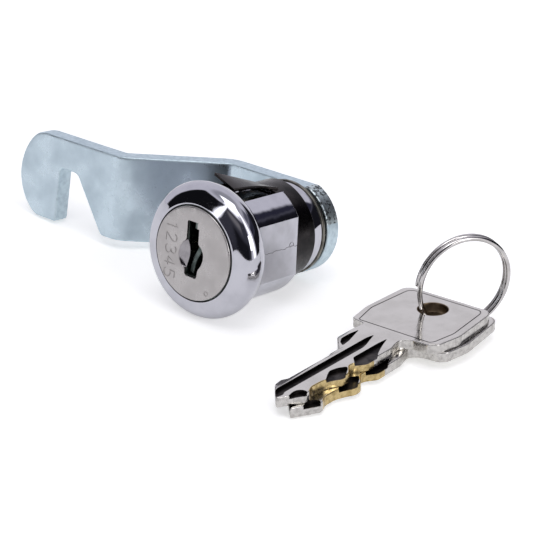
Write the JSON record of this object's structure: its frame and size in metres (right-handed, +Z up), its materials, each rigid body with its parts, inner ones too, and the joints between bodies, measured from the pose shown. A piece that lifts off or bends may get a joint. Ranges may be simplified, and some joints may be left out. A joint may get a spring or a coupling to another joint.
{
  "type": "cam lock",
  "caption": "Chrome cam lock with a double-D barrel, a black spring clip and a cranked hook cam that turns with the plug, lying beside its flat keys on a split ring.",
  "frame": {"origin": "centre of the base of the bounding box of the lock and its keys, on the surface they lie on", "axes": "+Z up, +X from the hook's tip towards the keys, +Y from the lock's face towards its rear; the lock's own axis lies 6.75 degrees below +Y"},
  "size_m": [0.0888, 0.0496, 0.0219],
  "materials": {
    "chrome_plate": "bright chrome plate on a zinc die casting",
    "black_spring_steel": "black oxidised spring steel",
    "plug_zinc": "plain zinc die casting",
    "satin_nickel": "satin nickel plate",
    "yellow_steel": "dull yellowish passivated steel",
    "dark_steel": "dark oxidised steel",
    "zinc_plated_steel": "bright zinc plate with a blue tint",
    "wafer_brass": "stamped brass",
    "spring_wire": "plain spring wire",
    "nickel_brass": "nickel plated brass, bare brass in the cuts",
    "bright_steel": "bright nickel plated steel wire"
  },
  "bodies": {
    "housing": {"housing": "chrome_plate", "spring_clip": "black_spring_steel"},
    "plug": {"plug": "plug_zinc", "plug_face": "satin_nickel", "stop_washer": "yellow_steel", "spacer_washer": "dark_steel", "cam": "zinc_plated_steel", "lock_washer": "zinc_plated_steel", "cam_screw": "zinc_plated_steel", "wafer_spring_1": "spring_wire", "wafer_spring_2": "spring_wire", "wafer_spring_3": "spring_wire", "wafer_spring_4": "spring_wire", "wafer_spring_5": "spring_wire", "wafer_spring_6": "spring_wire"},
    "wafer_1": {"wafer_1": "wafer_brass"},
    "wafer_2": {"wafer_2": "wafer_brass"},
    "wafer_3": {"wafer_3": "wafer_brass"},
    "wafer_4": {"wafer_4": "wafer_brass"},
    "wafer_5": {"wafer_5": "wafer_brass"},
    "wafer_6": {"wafer_6": "wafer_brass"},
    "key_1": {"key_1": "nickel_brass"},
    "key_2": {"key_2": "nickel_brass"},
    "key_ring": {"key_ring": "bright_steel"}
  },
  "joints": [
    {"name": "plug_turn", "type": "hinge", "parent": "housing", "child": "plug", "pos_m": [0.005, -0.01045, 0.01132], "axis": [0, -0.9931, 0.1176], "range_deg": [-90, 0]},
    {"name": "wafer_1_slide", "type": "slide", "parent": "plug", "child": "wafer_1", "axis": [-0.0417, 0.1175, 0.9922], "range_m": [0, 0.001]},
    {"name": "wafer_2_slide", "type": "slide", "parent": "plug", "child": "wafer_2", "axis": [-0.0417, 0.1175, 0.9922], "range_m": [0, 0.001]},
    {"name": "wafer_3_slide", "type": "slide", "parent": "plug", "child": "wafer_3", "axis": [-0.0417, 0.1175, 0.9922], "range_m": [0, 0.001]},
    {"name": "wafer_4_slide", "type": "slide", "parent": "plug", "child": "wafer_4", "axis": [-0.0417, 0.1175, 0.9922], "range_m": [0, 0.001]},
    {"name": "wafer_5_slide", "type": "slide", "parent": "plug", "child": "wafer_5", "axis": [-0.0417, 0.1175, 0.9922], "range_m": [0, 0.001]},
    {"name": "wafer_6_slide", "type": "slide", "parent": "plug", "child": "wafer_6", "axis": [-0.0417, 0.1175, 0.9922], "range_m": [0, 0.001]},
    {"name": "keys_lift", "type": "slide", "parent": "housing", "child": "key_1", "axis": [0, 0, 1], "range_m": [0, 0.06]},
    {"name": "key_2_swing", "type": "hinge", "parent": "key_1", "child": "key_2", "pos_m": [0.03527, 0.01442, 0.00245], "axis": [-0.0794, -0.0173, 0.9967], "range_deg": [-20, 2]},
    {"name": "ring_turn", "type": "hinge", "parent": "key_1", "child": "key_ring", "pos_m": [0.0371, 0.01746, 0.00812], "axis": [0.878, -0.4787, 0], "continuous": true}
  ]
}
